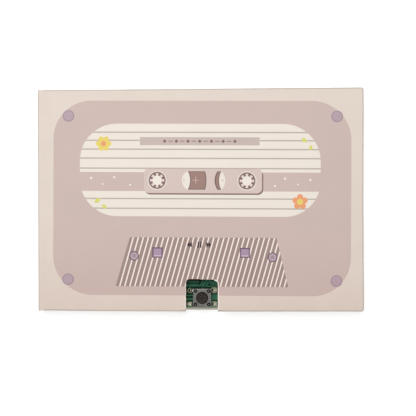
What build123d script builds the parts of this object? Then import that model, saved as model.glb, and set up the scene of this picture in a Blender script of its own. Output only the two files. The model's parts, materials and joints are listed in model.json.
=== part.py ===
from build123d import *
import os
from math import atan2, cos, degrees, pi, radians, sin, tan

# Recordable greeting card, closed and lying on its back. All sizes are in millimetres.
# +X points to the right of the printed front, +Y to its top and +Z out of the front.
# The origin is the middle of the back face.

# Card case: one folded sheet of card stock, a lining, a foam spacer and an inner panel
card_width = 108.5
card_height = 74.0
stock_thickness = 0.45
free_corner_radius = 1.0
fold_radius = 0.25
crease_gap = 0.05
lining_thickness = 0.25
lining_inset = 1.0
lining_hinge_inset = 1.25
closing_gap = 0.05
inner_panel_thickness = 0.4
inner_panel_inset = 0.6
spacer_inset = 1.0
spine_clearance = 0.3
panel_air = 0.4

# Finger notch in the lower edge of the front
notch_width = 10.6
notch_depth = 10.7
notch_offset = 0.45
notch_corner_radius = 1.3
notch_step = 0.5

# Circuit board and the foam tape under it
tape_thickness = 0.55
tape_inset = 1.2
board_thickness = 1.0
board_corner_radius = 0.6
tab_width = 14.0
tab_length = 3.6
tab_margin = 0.8
bay_clearance = 0.5
bay_corner_radius = 0.8

# Tact switches: the play switch in the notch and the record switch under the inner panel
switch_size = 6.0
switch_housing_height = 3.2
switch_plate_thickness = 0.3
switch_floor = 1.0
cavity_diameter = 4.9
post_diameter = 1.1
post_inset = 0.75
post_rise = 0.2
post_hole_clearance = 0.08
plunger_diameter = 3.5
plunger_clearance = 0.22
flange_diameter = 4.6
flange_thickness = 0.7
flange_play = 0.05
nub_diameter = 1.6
nub_gap = 0.05
dome_thickness = 0.1
dome_rise = 0.4
dome_clearance = 0.15
plate_tab_width = 1.6
plate_tab_thickness = 0.25
plate_tab_length = 1.4
plate_tab_clearance = 0.05
lead_width = 0.75
lead_thickness = 0.2
lead_spread = 4.5
lead_exit_height = 0.7
lead_shoulder = 0.45
lead_foot = 1.2
plunger_edge_radius = 0.25
play_plunger_recess = 0.05
play_switch_setback = 3.45
switch_spacing = 18.45
lower_row_height = 4.1

# Small parts on the board
led_from_record_switch = 7.2
led_length = 3.2
led_width = 2.8
led_height = 1.1
led_lens_diameter = 2.2
led_lens_rise = 0.7
led_lens_edge_radius = 0.6
chip_from_play_switch = 13.0
chip_height_on_board = 4.6
chip_diameter = 8.0
chip_rise = 1.4
microphone_diameter = 6.0
microphone_height = 2.7
microphone_from_right = 4.1
microphone_face_recess = 0.3
microphone_felt_rise = 0.3
microphone_felt_clearance = 0.05
small_part_length = 1.6
small_part_width = 0.8
resistor_height = 0.45
capacitor_height = 0.8
small_part_pitch = 2.6
small_row_height = 8.4
small_row_from_play_switch = 10.05
resistor_count = 5
capacitor_count = 2
timing_column_from_play_switch = 7.45
timing_column_pitch = 2.3
timing_column_count = 3

# Button cells, their contacts and their clips
cell_count = 3
cell_diameter = 11.6
cell_thickness = 3.05
cell_cap_diameter = 10.0
cell_cap_height = 0.35
cell_edge_radius = 0.3
cell_row_height = 9.3
cell_top_margin = 1.1
contact_diameter = 8.6
contact_thickness = 0.2
clip_width = 4.2
clip_thickness = 0.2
clip_play = 0.15
clip_foot = 1.2
clip_joint_gap = 0.2
clip_bend_radius = 0.3
cell_window_margin = 1.0

# Loudspeaker, face down over the sound holes
speaker_gap = 2.4
speaker_diameter = 32.0
gasket_thickness = 0.3
gasket_width = 2.0
diaphragm_thickness = 0.2
diaphragm_seat_inset = 0.3
flange_sheet = 0.5
flange_width = 2.4
frame_wall_height = 1.1
frame_ring_height = 2.3
frame_ring_diameter = 21.6
frame_hole_diameter = 3.0
frame_hole_count = 4
frame_hole_start = 15.0
surround_clearance = 0.2
surround_width = 2.2
surround_rise = 0.6
cone_rise = 1.6
dust_cap_drop = 1.1
coil_diameter = 11.4
coil_thickness = 0.25
coil_clearance = 0.25
coil_height = 1.6
coil_seat = 0.05
yoke_wall = 0.95
yoke_floor = 0.8
yoke_recess = 0.15
yoke_edge_radius = 0.4
yoke_seat_clearance = 0.05
pole_plate_thickness = 0.6
pole_plate_sink = 0.2
magnet_step = 0.3
terminal_angle = -30.0
terminal_board_clearance = 0.7
terminal_board_length = 6.4
terminal_board_width = 3.6
terminal_board_thickness = 0.6
lug_spread = 3.2
lug_length = 2.0
lug_width = 1.5
lug_thickness = 0.2
sound_hole_diameter = 1.6
sound_hole_pitch = 3.4
sound_hole_rings = 3

# Windows in the inner panel
record_button_window = 7.0
led_window = 2.6
microphone_window = 4.0
speaker_window = 26.0

# Speaker leads and solder
wire_diameter = 0.9
wire_slot_width = 5.0
wire_slot_from_clip = 1.1
wire_slot_from_board_end = 4.2
wire_slot_from_top = 2.0
wire_pad_setback = 1.2
wire_pad_pitch = 2.6
wire_lift = 0.05
wire_bend_share = 0.45
wire_lug_approach = 4.4
wire_lug_dip = 0.1
solder_start = 0.05
solder_margin = 0.35
solder_rise = 0.2
solder_corner_radius = 0.3
solder_edge_radius = 0.15
wire_solder_size = 1.5
wire_solder_rise = 1.1

# Where the speaker leads bend: share of the slot's run, distance from its middle, share of the climb
wire_bends = [(0.18, 1.05, 0.04), (0.42, 0.75, 0.3), (0.65, 0.95, 0.64)]

# Levels that follow from the thicknesses
board_bottom = stock_thickness + tape_thickness
board_top = board_bottom + board_thickness
switch_body_height = switch_housing_height + switch_plate_thickness
spacer_top = board_top + switch_body_height + panel_air
panel_top = spacer_top + inner_panel_thickness
lining_bottom = panel_top + closing_gap
cover_bottom = lining_bottom + lining_thickness
card_depth = cover_bottom + stock_thickness
speaker_face = stock_thickness + gasket_thickness

# Places that follow from the outline
card_left = -card_width / 2
card_lower = -card_height / 2
tab_lower = card_lower + tab_margin
board_lower = tab_lower + tab_length
board_height = cell_row_height + cell_diameter + cell_top_margin
board_upper = board_lower + board_height
cell_y = board_upper - cell_top_margin - cell_diameter / 2
clip_reach = cell_diameter / 2 + clip_play + clip_foot
clip_end = clip_reach + solder_margin
cell_pitch = 2 * clip_end + clip_joint_gap
cell_places = [((i - (cell_count - 1) / 2) * cell_pitch, cell_y) for i in range(cell_count)]
wire_slot_x = cell_places[-1][0] + clip_end + wire_slot_from_clip
board_width = 2 * (wire_slot_x + wire_slot_from_board_end)
lower_row_y = board_lower + lower_row_height
play_switch_place = (notch_offset, tab_lower + play_switch_setback)
record_switch_place = (notch_offset - switch_spacing, lower_row_y)
led_place = (record_switch_place[0] + led_from_record_switch, lower_row_y)
chip_place = (notch_offset + chip_from_play_switch, board_lower + chip_height_on_board)
microphone_place = (board_width / 2 - microphone_from_right, lower_row_y)
post_spread = switch_size - 2 * post_inset
speaker_place = (0, board_upper + speaker_gap + speaker_diameter / 2)
coil_inner_radius = coil_diameter / 2 - coil_thickness
yoke_inner_radius = coil_diameter / 2 + coil_clearance
yoke_radius = yoke_inner_radius + yoke_wall
yoke_top = panel_top - yoke_recess


def write_piece(piece, name):
    """Labels a finished piece and writes its STEP file."""
    piece.part.label = name
    export_step(piece.part, f"parts/{name}.step")


def cap_radius(half_width, rise):
    """Radius of the arc that rises this much over half its chord."""
    return (half_width**2 + rise**2) / (2 * rise)


def cap_centre(place, radius, rise, level):
    """Centre of the sphere whose cap stands on a level."""
    return (place[0], place[1], level + rise - cap_radius(radius, rise))


def cut_finger_notch(growth):
    """Cuts the finger notch, wider and deeper by a growth, out of the sketch in hand."""
    with Locations((notch_offset, card_lower)):
        RectangleRounded(
            notch_width + 2 * growth,
            2 * (notch_depth + growth),
            notch_corner_radius,
            mode=Mode.SUBTRACT,
        )


def draw_inset_sheet(hinge_inset, free_inset):
    """Draws a sheet that stays inside the card's outline, more so at the hinge."""
    with Locations(((hinge_inset - free_inset) / 2, 0)):
        Rectangle(card_width - hinge_inset - free_inset, card_height - 2 * free_inset)


# Card case

with BuildPart() as front_cover:
    with BuildSketch(Plane.XY.offset(cover_bottom)):
        Rectangle(card_width, card_height)
        fillet(vertices().group_by(Axis.X)[-1], free_corner_radius)
        cut_finger_notch(0)
    extrude(amount=stock_thickness)
    fillet(edges().filter_by(Axis.Y).group_by(Axis.X)[0].sort_by(Axis.Z)[-1], fold_radius)
write_piece(front_cover, "front_cover")

with BuildPart() as cover_lining:
    with BuildSketch(Plane.XY.offset(lining_bottom)):
        draw_inset_sheet(lining_hinge_inset, lining_inset)
        cut_finger_notch(notch_step)
    extrude(amount=lining_thickness)
write_piece(cover_lining, "cover_lining")

spine_height = cover_bottom - stock_thickness - 2 * crease_gap
with BuildPart() as spine:
    with BuildSketch(Plane.XY.offset(stock_thickness + crease_gap)):
        with Locations((card_left + stock_thickness / 2, 0)):
            Rectangle(stock_thickness, card_height)
    extrude(amount=spine_height)
write_piece(spine, "spine")

with BuildPart() as back_panel:
    with BuildSketch():
        Rectangle(card_width, card_height)
        fillet(vertices().group_by(Axis.X)[-1], free_corner_radius)
        with Locations(speaker_place):
            Circle(sound_hole_diameter / 2, mode=Mode.SUBTRACT)
            for ring in range(1, sound_hole_rings + 1):
                with PolarLocations(ring * sound_hole_pitch, 6 * ring):
                    Circle(sound_hole_diameter / 2, mode=Mode.SUBTRACT)
    extrude(amount=stock_thickness)
    fillet(edges().filter_by(Axis.Y).group_by(Axis.X)[0].sort_by(Axis.Z)[0], fold_radius)
write_piece(back_panel, "back_panel")

spacer_hinge_inset = stock_thickness + spine_clearance
bay_width = board_width + 2 * bay_clearance
bay_height = board_height + 2 * bay_clearance
speaker_bay_radius = speaker_diameter / 2 + bay_clearance
board_centre_y = (board_lower + board_upper) / 2
terminal_direction = Vector(cos(radians(terminal_angle)), sin(radians(terminal_angle)))
wire_slot_start = Vector(wire_slot_x, board_upper - wire_slot_from_top)
wire_slot_end = Vector(*speaker_place) + terminal_direction * (speaker_bay_radius - wire_slot_width / 2)
wire_slot_run = wire_slot_end - wire_slot_start
with BuildPart() as spacer_frame:
    with BuildSketch(Plane.XY.offset(stock_thickness)):
        draw_inset_sheet(spacer_hinge_inset, spacer_inset)
        with Locations((0, board_centre_y)):
            RectangleRounded(bay_width, bay_height, bay_corner_radius, mode=Mode.SUBTRACT)
        tab_bay_height = board_centre_y - card_lower
        with Locations((notch_offset, card_lower + tab_bay_height / 2)):
            Rectangle(tab_width + 2 * bay_clearance, tab_bay_height, mode=Mode.SUBTRACT)
        with Locations(speaker_place):
            Circle(speaker_bay_radius, mode=Mode.SUBTRACT)
        with Locations((wire_slot_start + wire_slot_end) / 2):
            SlotCenterToCenter(
                wire_slot_run.length,
                wire_slot_width,
                rotation=degrees(atan2(wire_slot_run.Y, wire_slot_run.X)),
                mode=Mode.SUBTRACT,
            )
    extrude(amount=spacer_top - stock_thickness)
write_piece(spacer_frame, "spacer_frame")

cell_row_width = (cell_count - 1) * cell_pitch + 2 * (clip_reach + cell_window_margin)
with BuildPart() as inner_panel:
    with BuildSketch(Plane.XY.offset(spacer_top)):
        draw_inset_sheet(spacer_hinge_inset, inner_panel_inset)
        cut_finger_notch(notch_step)
        with Locations((0, cell_y)):
            window_height = cell_diameter + 2 * cell_window_margin
            RectangleRounded(cell_row_width, window_height, bay_corner_radius, mode=Mode.SUBTRACT)
        with Locations(record_switch_place):
            Circle(record_button_window / 2, mode=Mode.SUBTRACT)
        with Locations(led_place):
            Circle(led_window / 2, mode=Mode.SUBTRACT)
        with Locations(microphone_place):
            Circle(microphone_window / 2, mode=Mode.SUBTRACT)
        with Locations(speaker_place):
            Circle(speaker_window / 2, mode=Mode.SUBTRACT)
    extrude(amount=inner_panel_thickness)
write_piece(inner_panel, "inner_panel")

# Circuit board

with BuildPart() as circuit_board:
    with BuildSketch(Plane.XY.offset(board_bottom)):
        with Locations((0, board_centre_y)):
            Rectangle(board_width, board_height)
        tab_reach = board_centre_y - tab_lower
        with Locations((notch_offset, tab_lower + tab_reach / 2)):
            Rectangle(tab_width, tab_reach)
        fillet(vertices(), board_corner_radius)
    extrude(amount=board_thickness)
write_piece(circuit_board, "circuit_board")

with BuildPart() as board_tape:
    with BuildSketch(Plane.XY.offset(stock_thickness)):
        with Locations((0, board_centre_y)):
            Rectangle(board_width - 2 * tape_inset, board_height - 2 * tape_inset)
        tape_tab_lower = tab_lower + tape_inset
        tape_tab_reach = board_centre_y - tape_tab_lower
        with Locations((notch_offset, tape_tab_lower + tape_tab_reach / 2)):
            Rectangle(tab_width - 2 * tape_inset, tape_tab_reach)
    extrude(amount=tape_thickness)
write_piece(board_tape, "board_tape")

with BuildPart() as voice_chip:
    with Locations(cap_centre(chip_place, chip_diameter / 2, chip_rise, board_top)):
        Sphere(cap_radius(chip_diameter / 2, chip_rise))
    split(bisect_by=Plane.XY.offset(board_top), keep=Keep.TOP)
write_piece(voice_chip, "voice_chip")

with BuildPart() as microphone_can:
    with BuildSketch(Plane.XY.offset(board_top)):
        with Locations(microphone_place):
            Circle(microphone_diameter / 2)
    extrude(amount=microphone_height)
    fillet(edges().group_by(Axis.Z)[-1], microphone_face_recess)
    with BuildSketch(Plane.XY.offset(board_top + microphone_height)):
        with Locations(microphone_place):
            Circle(microphone_diameter / 2 - 2 * microphone_face_recess)
    extrude(amount=-microphone_face_recess, mode=Mode.SUBTRACT)
write_piece(microphone_can, "microphone_can")

with BuildPart() as microphone_felt:
    with BuildSketch(Plane.XY.offset(board_top + microphone_height - microphone_face_recess)):
        with Locations(microphone_place):
            Circle(microphone_diameter / 2 - 2 * microphone_face_recess - microphone_felt_clearance)
    extrude(amount=microphone_face_recess + microphone_felt_rise)
write_piece(microphone_felt, "microphone_felt")

with BuildPart() as record_led:
    with BuildSketch(Plane.XY.offset(board_top)):
        with Locations(led_place):
            Rectangle(led_length, led_width)
    extrude(amount=led_height)
    with BuildSketch(Plane.XY.offset(board_top + led_height)):
        with Locations(led_place):
            Circle(led_lens_diameter / 2)
    extrude(amount=led_lens_rise)
    fillet(edges().group_by(Axis.Z)[-1], led_lens_edge_radius)
write_piece(record_led, "record_led")


def build_small_parts(places, height):
    """Surface-mount parts of one height, each a block of its own."""
    with BuildPart() as small_parts:
        with BuildSketch(Plane.XY.offset(board_top)):
            with Locations(*places):
                Rectangle(small_part_length, small_part_width)
        extrude(amount=height)
    return small_parts


small_row_y = board_lower + small_row_height
small_row_x = notch_offset - small_row_from_play_switch
small_row = [
    (small_row_x + i * small_part_pitch, small_row_y) for i in range(resistor_count + capacitor_count)
]
timing_x = notch_offset - timing_column_from_play_switch
timing_column = [
    (timing_x, lower_row_y + (i - (timing_column_count - 1) / 2) * timing_column_pitch)
    for i in range(timing_column_count)
]
resistors = build_small_parts(small_row[:resistor_count] + timing_column, resistor_height)
capacitors = build_small_parts(small_row[resistor_count:], capacitor_height)
write_piece(resistors, "chip_resistors")
write_piece(capacitors, "chip_capacitors")

# Tact switches


def build_switch_housing(place):
    """Moulded body: a round well for the dome, four posts and two slots for the plate's tabs."""
    with BuildPart() as housing:
        with BuildSketch(Plane.XY.offset(board_top)):
            with Locations(place):
                Rectangle(switch_size, switch_size)
        extrude(amount=switch_housing_height)
        with BuildSketch(Plane.XY.offset(board_top + switch_floor)):
            with Locations(place):
                Circle(cavity_diameter / 2)
        extrude(amount=switch_housing_height - switch_floor, mode=Mode.SUBTRACT)
        with BuildSketch(Plane.XY.offset(board_top + switch_housing_height)):
            with Locations(place):
                with GridLocations(post_spread, post_spread, 2, 2):
                    Circle(post_diameter / 2)
        extrude(amount=switch_plate_thickness + post_rise)
        with BuildSketch(Plane.XY.offset(board_top + switch_housing_height)):
            with Locations(place):
                slot_depth = plate_tab_thickness + plate_tab_clearance
                with GridLocations(0, switch_size - slot_depth, 1, 2):
                    Rectangle(plate_tab_width + 2 * plate_tab_clearance, slot_depth)
        extrude(amount=-plate_tab_length - plate_tab_clearance, mode=Mode.SUBTRACT)
    return housing


def build_switch_plate(place):
    """Sheet-metal cover plate, holed for the plunger and the posts, with two bent tabs."""
    with BuildPart() as plate:
        with BuildSketch(Plane.XY.offset(board_top + switch_housing_height)):
            with Locations(place):
                Rectangle(switch_size, switch_size)
                Circle(plunger_diameter / 2 + plunger_clearance, mode=Mode.SUBTRACT)
                with GridLocations(post_spread, post_spread, 2, 2):
                    Circle(post_diameter / 2 + post_hole_clearance, mode=Mode.SUBTRACT)
        extrude(amount=switch_plate_thickness)
        with BuildSketch(Plane.XY.offset(board_top + switch_housing_height)):
            with Locations(place):
                with GridLocations(0, switch_size - plate_tab_thickness, 1, 2):
                    Rectangle(plate_tab_width, plate_tab_thickness)
        extrude(amount=-plate_tab_length)
    return plate


def build_switch_plunger(place, top):
    """Round plunger: a stem up to a level, a flange under the plate and a nub over the dome."""
    flange_top = board_top + switch_housing_height - flange_play
    dome_top = board_top + switch_floor + dome_rise + dome_thickness
    with BuildPart() as plunger:
        with BuildSketch(Plane.XY.offset(dome_top + nub_gap)):
            with Locations(place):
                Circle(nub_diameter / 2)
        extrude(amount=flange_top - dome_top - nub_gap)
        with BuildSketch(Plane.XY.offset(flange_top - flange_thickness)):
            with Locations(place):
                Circle(flange_diameter / 2)
        extrude(amount=flange_thickness)
        with BuildSketch(Plane.XY.offset(flange_top)):
            with Locations(place):
                Circle(plunger_diameter / 2)
        extrude(amount=top - flange_top)
        fillet(edges().group_by(Axis.Z)[-1], plunger_edge_radius)
    return plunger


def upright_plane(place, level):
    """Vertical plane through a place, to draw the half profile of a round piece on."""
    return Plane((*place, level), x_dir=(1, 0, 0), z_dir=(0, -1, 0))


def build_switch_dome(place):
    """Snap dome: a thin cap whose rim stands on the floor of the housing."""
    rim = cavity_diameter / 2 - dome_clearance
    bend = cap_radius(rim, dome_rise)
    level = board_top + switch_floor
    with BuildPart() as dome:
        with BuildSketch(upright_plane(place, level)):
            with BuildLine():
                under = RadiusArc((0, dome_rise), (rim, 0), bend)
                Line(under @ 1, (rim, dome_thickness))
                over = RadiusArc((0, dome_rise + dome_thickness), (rim, dome_thickness), bend)
                Line(over @ 0, under @ 0)
            make_face()
        revolve(axis=Axis((*place, level), (0, 0, 1)))
    return dome


def build_switch_terminals(place):
    """Four bent leads that come out of the housing's sides and end in feet on the board."""
    shoulder = switch_size / 2 + lead_shoulder
    toe = shoulder + lead_foot
    with BuildPart() as terminals:
        for side in (-1, 1):
            for row in (-1, 1):
                corner = (place[0], place[1] + row * lead_spread / 2, board_top)
                with BuildSketch(Plane(corner, x_dir=(side, 0, 0), z_dir=(0, -side, 0))):
                    with BuildLine():
                        Polyline(
                            (switch_size / 2, lead_exit_height),
                            (switch_size / 2, lead_exit_height + lead_thickness),
                            (shoulder, lead_exit_height + lead_thickness),
                            (shoulder, lead_thickness),
                            (toe, lead_thickness),
                            (toe, 0),
                            (shoulder - lead_thickness, 0),
                            (shoulder - lead_thickness, lead_exit_height),
                            close=True,
                        )
                    make_face()
                extrude(amount=lead_width / 2, both=True)
    return terminals


def write_switch(place, top, name):
    """Builds and writes the five pieces of one tact switch, and hands back its terminals."""
    terminals = build_switch_terminals(place)
    write_piece(build_switch_housing(place), f"{name}_switch_housing")
    write_piece(build_switch_plate(place), f"{name}_switch_plate")
    write_piece(build_switch_plunger(place, top), f"{name}_switch_plunger")
    write_piece(build_switch_dome(place), f"{name}_switch_dome")
    write_piece(terminals, f"{name}_switch_terminals")
    return terminals


play_terminals = write_switch(play_switch_place, card_depth - play_plunger_recess, "play")
record_terminals = write_switch(record_switch_place, panel_top, "record")

# Button cells


def build_cell(place):
    """Button cell, its smaller negative cap down on the contact."""
    base = board_top + contact_thickness
    with BuildPart() as cell:
        with BuildSketch(Plane.XY.offset(base)):
            with Locations(place):
                Circle(cell_cap_diameter / 2)
        extrude(amount=cell_cap_height)
        with BuildSketch(Plane.XY.offset(base + cell_cap_height)):
            with Locations(place):
                Circle(cell_diameter / 2)
        extrude(amount=cell_thickness - cell_cap_height)
        fillet(edges().group_by(Axis.Z)[-1], cell_edge_radius)
    return cell


def build_clip(place):
    """Arch clip: a strap over the cell with a foot on the board at each side."""
    inner_half = cell_diameter / 2 + clip_play
    arch = contact_thickness + cell_thickness
    with BuildPart() as clip:
        with BuildSketch(upright_plane(place, board_top)):
            with Locations((0, (arch + clip_thickness) / 2)):
                Rectangle(2 * (inner_half + clip_thickness), arch + clip_thickness)
            fillet(vertices().group_by(Axis.Y)[-1], clip_bend_radius + clip_thickness)
            with Locations((0, clip_thickness / 2)):
                Rectangle(2 * clip_reach, clip_thickness)
            with Locations((0, 0)):
                RectangleRounded(2 * inner_half, 2 * arch, clip_bend_radius, mode=Mode.SUBTRACT)
        extrude(amount=clip_width / 2, both=True)
    return clip


clips = []
for number, place in enumerate(cell_places, start=1):
    write_piece(build_cell(place), f"battery_cell_{number}")
    clips.append(build_clip(place))
    write_piece(clips[-1], f"battery_clip_{number}")

with BuildPart() as battery_contacts:
    with BuildSketch(Plane.XY.offset(board_top)):
        with Locations(*cell_places):
            Circle(contact_diameter / 2)
    extrude(amount=contact_thickness)
write_piece(battery_contacts, "battery_contacts")

# Loudspeaker

speaker_plane = upright_plane(speaker_place, speaker_face)
speaker_axis = Axis((*speaker_place, speaker_face), (0, 0, 1))
frame_bore = speaker_diameter / 2 - flange_width
surround_outer = frame_bore - surround_clearance
surround_inner = surround_outer - surround_width
ring_radius = frame_ring_diameter / 2
ring_top = frame_ring_height + flange_sheet
yoke_seat = yoke_radius + yoke_seat_clearance

with BuildPart() as speaker_gasket:
    with BuildSketch(Plane.XY.offset(stock_thickness)):
        with Locations(speaker_place):
            Circle(speaker_diameter / 2)
            Circle(speaker_diameter / 2 - gasket_width, mode=Mode.SUBTRACT)
    extrude(amount=gasket_thickness)
write_piece(speaker_gasket, "speaker_gasket")

with BuildPart() as speaker_frame:
    with BuildSketch(speaker_plane):
        with BuildLine():
            Polyline(
                (frame_bore, diaphragm_thickness),
                (speaker_diameter / 2, diaphragm_thickness),
                (speaker_diameter / 2, diaphragm_thickness + flange_sheet),
                (frame_bore + flange_sheet, diaphragm_thickness + flange_sheet),
                (frame_bore + flange_sheet, frame_wall_height + flange_sheet),
                (ring_radius, ring_top),
                (yoke_seat, ring_top),
                (yoke_seat, frame_ring_height),
                (ring_radius, frame_ring_height),
                (frame_bore, frame_wall_height),
                close=True,
            )
        make_face()
    revolve(axis=speaker_axis)
    with BuildSketch(Plane.XY.offset(speaker_face)):
        with Locations(speaker_place):
            hole_circle = (ring_radius + frame_bore) / 2
            with PolarLocations(hole_circle, frame_hole_count, start_angle=frame_hole_start):
                Circle(frame_hole_diameter / 2)
    extrude(amount=ring_top, mode=Mode.SUBTRACT)
write_piece(speaker_frame, "speaker_frame")

with BuildPart() as speaker_diaphragm:
    coil_radius = coil_diameter / 2
    rim_radius = speaker_diameter / 2 - diaphragm_seat_inset
    cap_bend = cap_radius(coil_radius, dust_cap_drop)
    roll_bend = cap_radius(surround_width / 2, surround_rise)
    with BuildSketch(speaker_plane):
        with BuildLine():
            for lift in (0, diaphragm_thickness):
                RadiusArc((0, cone_rise - dust_cap_drop + lift), (coil_radius, cone_rise + lift), -cap_bend)
                Line((coil_radius, cone_rise + lift), (surround_inner, lift))
                RadiusArc((surround_inner, lift), (surround_outer, lift), roll_bend)
                Line((surround_outer, lift), (rim_radius, lift))
            Line((rim_radius, 0), (rim_radius, diaphragm_thickness))
            Line((0, cone_rise - dust_cap_drop), (0, cone_rise - dust_cap_drop + diaphragm_thickness))
        make_face()
    revolve(axis=speaker_axis)
write_piece(speaker_diaphragm, "speaker_diaphragm")

with BuildPart() as speaker_coil:
    with BuildSketch(Plane.XY.offset(speaker_face + cone_rise + diaphragm_thickness + coil_seat)):
        with Locations(speaker_place):
            Circle(coil_diameter / 2)
            Circle(coil_inner_radius, mode=Mode.SUBTRACT)
    extrude(amount=coil_height)
write_piece(speaker_coil, "speaker_coil")

yoke_mouth = speaker_face + frame_ring_height
with BuildPart() as speaker_yoke:
    with BuildSketch(Plane.XY.offset(yoke_mouth)):
        with Locations(speaker_place):
            Circle(yoke_radius)
    extrude(amount=yoke_top - yoke_mouth)
    fillet(edges().group_by(Axis.Z)[-1], yoke_edge_radius)
    with BuildSketch(Plane.XY.offset(yoke_mouth)):
        with Locations(speaker_place):
            Circle(yoke_inner_radius)
    extrude(amount=yoke_top - yoke_floor - yoke_mouth, mode=Mode.SUBTRACT)
write_piece(speaker_yoke, "speaker_yoke")

pole_plate_bottom = yoke_mouth + pole_plate_sink
pole_plate_radius = coil_inner_radius - coil_clearance
with BuildPart() as speaker_pole_plate:
    with BuildSketch(Plane.XY.offset(pole_plate_bottom)):
        with Locations(speaker_place):
            Circle(pole_plate_radius)
    extrude(amount=pole_plate_thickness)
write_piece(speaker_pole_plate, "speaker_pole_plate")

magnet_bottom = pole_plate_bottom + pole_plate_thickness
with BuildPart() as speaker_magnet:
    with BuildSketch(Plane.XY.offset(magnet_bottom)):
        with Locations(speaker_place):
            Circle(pole_plate_radius - magnet_step)
    extrude(amount=yoke_top - yoke_floor - magnet_bottom)
write_piece(speaker_magnet, "speaker_magnet")

terminal_seat = speaker_face + ring_top
terminal_board_radius = yoke_radius + terminal_board_clearance + terminal_board_width / 2
terminal_centre = Vector(*speaker_place) + terminal_direction * terminal_board_radius
terminal_side = terminal_direction.rotate(Axis.Z, 90)


def terminal_plane(level):
    """Level plane on the terminal board, with its X away from the speaker's axis."""
    return Plane((terminal_centre.X, terminal_centre.Y, level), x_dir=terminal_direction)


with BuildPart() as speaker_terminal_board:
    with BuildSketch(terminal_plane(terminal_seat)):
        Rectangle(terminal_board_width, terminal_board_length)
        fillet(vertices(), board_corner_radius)
    extrude(amount=terminal_board_thickness)
write_piece(speaker_terminal_board, "speaker_terminal_board")

lug_seat = terminal_seat + terminal_board_thickness
with BuildPart() as speaker_lugs:
    with BuildSketch(terminal_plane(lug_seat)):
        with GridLocations(0, lug_spread, 1, 2):
            Rectangle(lug_length, lug_width)
    extrude(amount=lug_thickness)
write_piece(speaker_lugs, "speaker_lugs")

# Speaker leads, held in their slot of the spacer between the back and the inner panel

slot_direction = wire_slot_run.normalized()
slot_side = slot_direction.rotate(Axis.Z, -90)


def slot_point(along, across, level):
    """Point in the wire slot, from its start, with across to the slot's right."""
    place = wire_slot_start + slot_direction * along + slot_side * across
    return Vector(place.X, place.Y, level)


def lug_point(side, outward, level):
    """Point over a speaker lug, with outward away from the speaker's axis."""
    place = terminal_centre + terminal_side * (side * lug_spread / 2) + terminal_direction * outward
    return Vector(place.X, place.Y, level)


def lead_radii(points):
    """The largest arc that each corner of a lead's route has room for."""
    radii = []
    for before, corner, after in zip(points, points[1:], points[2:]):
        run_in = corner - before
        run_out = after - corner
        turn = radians(run_in.get_angle(run_out))
        radii.append(wire_bend_share * min(run_in.length, run_out.length) / tan(turn / 2))
    return radii


def build_lead(side):
    """Insulated lead from its pad on the board, up the slot and in to its speaker lug."""
    half_joint = wire_solder_size / 2
    pad_level = board_top + wire_lift + wire_diameter / 2
    lug_level = lug_seat + lug_thickness + wire_lift + wire_diameter / 2
    climb = lug_level - pad_level
    route = [slot_point(half_joint - wire_pad_setback, side * wire_pad_pitch / 2, pad_level)]
    for run_share, across, climb_share in wire_bends:
        along = run_share * wire_slot_run.length
        route.append(slot_point(along, side * across, pad_level + climb_share * climb))
    route.append(lug_point(side, wire_lug_approach, lug_level - wire_lug_dip))
    route.append(lug_point(side, half_joint, lug_level))
    radii = lead_radii(route)
    print("lead radii", [round(radius, 1) for radius in radii])
    with BuildPart() as lead:
        with BuildLine():
            path = FilletPolyline(*route, radius=radii)
        with BuildSketch(Plane(path @ 0, z_dir=path % 0)):
            Circle(wire_diameter / 2)
        sweep()
    wanted = path.length * pi * wire_diameter**2 / 4
    print("lead volume", round(lead.part.volume, 3), "section times length", round(wanted, 3))
    return lead


write_piece(build_lead(1), "speaker_wire_red")
write_piece(build_lead(-1), "speaker_wire_black")

# Solder, one solid to a joint


def add_foot_joints(place, reach_from, reach_to, width, rows):
    """Joints over the feet at both sides of a piece, and at each of its rows."""
    low = board_top
    high = board_top + lead_thickness + solder_rise
    with BuildPart() as joints:
        for side in (-1, 1):
            for row in rows:
                middle = place[0] + side * (reach_from + reach_to) / 2
                with BuildSketch(Plane.XY.offset(low)):
                    with Locations((middle, place[1] + row)):
                        RectangleRounded(reach_to - reach_from, width, solder_corner_radius)
                extrude(amount=high - low)
        fillet(edges().group_by(Axis.Z)[-1], solder_edge_radius)
    return joints


def build_switch_joints(place, terminals):
    """Joints over the four feet of a tact switch."""
    toe = switch_size / 2 + lead_shoulder + lead_foot
    rows = (-lead_spread / 2, lead_spread / 2)
    joints = add_foot_joints(
        place, switch_size / 2 + solder_start, toe + solder_margin, lead_width + 2 * solder_margin, rows)
    with BuildPart() as fitted:
        add(joints.part)
        add(terminals.part, mode=Mode.SUBTRACT)
    return fitted


def build_clip_joints(place, clip):
    """Joints over the two feet of a battery clip."""
    leg = cell_diameter / 2 + clip_play + clip_thickness
    joints = add_foot_joints(
        place, leg + solder_start, clip_reach + solder_margin, clip_width + 2 * solder_margin, (0,))
    with BuildPart() as fitted:
        add(joints.part)
        add(clip.part, mode=Mode.SUBTRACT)
    return fitted


def build_wire_joint(plane):
    """Joint in which a lead's stripped end is sunk."""
    with BuildPart() as joint:
        with BuildSketch(plane):
            Rectangle(wire_solder_size, wire_solder_size)
        extrude(amount=wire_solder_rise)
        fillet(edges().group_by(Axis.Z)[-1], solder_edge_radius)
    return joint


def build_pad_joint(side):
    """Joint of a lead on its pad of the board."""
    pad = slot_point(-wire_pad_setback, side * wire_pad_pitch / 2, board_top)
    return build_wire_joint(Plane(pad, x_dir=slot_direction))


def build_lug_joint(side):
    """Joint of a lead on its speaker lug."""
    lug = lug_point(side, 0, lug_seat + lug_thickness)
    return build_wire_joint(Plane(lug, x_dir=terminal_direction))


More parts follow.
